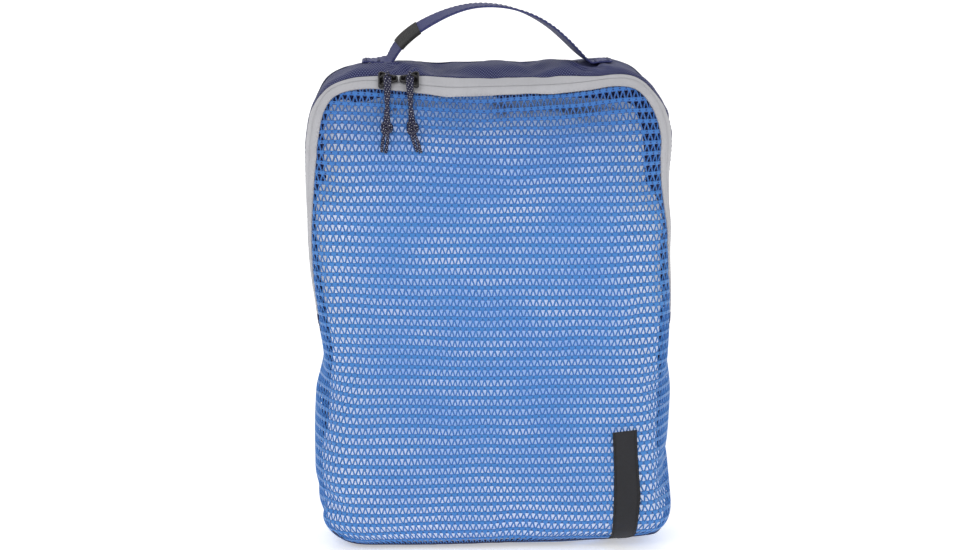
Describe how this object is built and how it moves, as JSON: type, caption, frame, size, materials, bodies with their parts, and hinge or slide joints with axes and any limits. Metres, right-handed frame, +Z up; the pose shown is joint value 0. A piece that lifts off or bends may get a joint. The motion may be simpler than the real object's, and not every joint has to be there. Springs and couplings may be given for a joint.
{
  "type": "packing cube",
  "caption": "Soft upright packing cube with a mesh front flap that unzips and folds down, a webbing top handle, zip sliders with knotted cord pulls and a side label.",
  "frame": {"origin": "on the base plane, at the middle of the width and of the cloth depth", "axes": "+X to the right seen from the front, -Y out of the mesh front, +Z up through the handle"},
  "size_m": [0.2636, 0.0848, 0.3868],
  "materials": {
    "net_blue": "open knitted net, matt",
    "navy_cloth": "dobby weave, soft sheen",
    "tape_grey": "woven zip tape, matt",
    "coil_grey": "spiral zip coil, satin",
    "navy_binding": "grosgrain binding, matt",
    "navy_webbing": "ribbed webbing, soft sheen",
    "black_tag": "woven label, matt",
    "black_slider": "black enamel, satin",
    "cord_black": "braided cord with pale flecks"
  },
  "bodies": {
    "shell": {"back_panel": "navy_cloth", "top_side_gusset": "navy_cloth", "base_panel": "navy_cloth", "net_front_lower": "net_blue", "back_binding": "navy_binding", "base_binding": "navy_binding", "zip_tape_body": "tape_grey", "zip_coil_body": "coil_grey", "zip_end_tab_left": "navy_cloth", "zip_end_tab_right": "navy_cloth", "side_label_root": "black_tag", "handle_tab_left": "navy_webbing", "handle_tab_right": "navy_webbing", "bar_tacks": "navy_webbing"},
    "flap": {"net_front_flap": "net_blue", "zip_tape_flap": "tape_grey", "zip_coil_flap": "coil_grey"},
    "handle": {"handle_strap": "navy_webbing", "size_tag": "black_tag"},
    "label": {"side_label": "black_tag"},
    "slider_l": {"slider_left": "black_slider"},
    "slider_r": {"slider_right": "black_slider"},
    "cord_l": {"pull_cord_left": "cord_black"},
    "cord_r": {"pull_cord_right": "cord_black"}
  },
  "joints": [
    {"name": "front_flap", "type": "hinge", "parent": "shell", "child": "flap", "pos_m": [0, -0.038, 0.168], "axis": [1, 0, 0], "range_deg": [0, 150]},
    {"name": "handle_flop", "type": "hinge", "parent": "shell", "child": "handle", "pos_m": [0, 0.012, 0.3543], "axis": [-1, 0, 0], "range_deg": [-80, 80]},
    {"name": "label_lift", "type": "hinge", "parent": "shell", "child": "label", "pos_m": [0.0965, -0.0388, 0.014], "axis": [1, 0, 0], "range_deg": [0, 90]},
    {"name": "slider_left_corner", "type": "hinge", "parent": "flap", "child": "slider_l", "pos_m": [-0.074, -0.03045, 0.287], "axis": [0, -1, 0], "range_deg": [0, 80]},
    {"name": "slider_right_track", "type": "slide", "parent": "flap", "child": "slider_r", "axis": [1, 0, 0], "range_m": [0, 0.126]},
    {"name": "cord_left_lift", "type": "hinge", "parent": "slider_l", "child": "cord_l", "pos_m": [-0.074, -0.03384, 0.34392], "axis": [-1, 0, 0], "range_deg": [0, 150]},
    {"name": "cord_right_lift", "type": "hinge", "parent": "slider_r", "child": "cord_r", "pos_m": [-0.0585, -0.03384, 0.34392], "axis": [-1, 0, 0], "range_deg": [0, 150]}
  ]
}
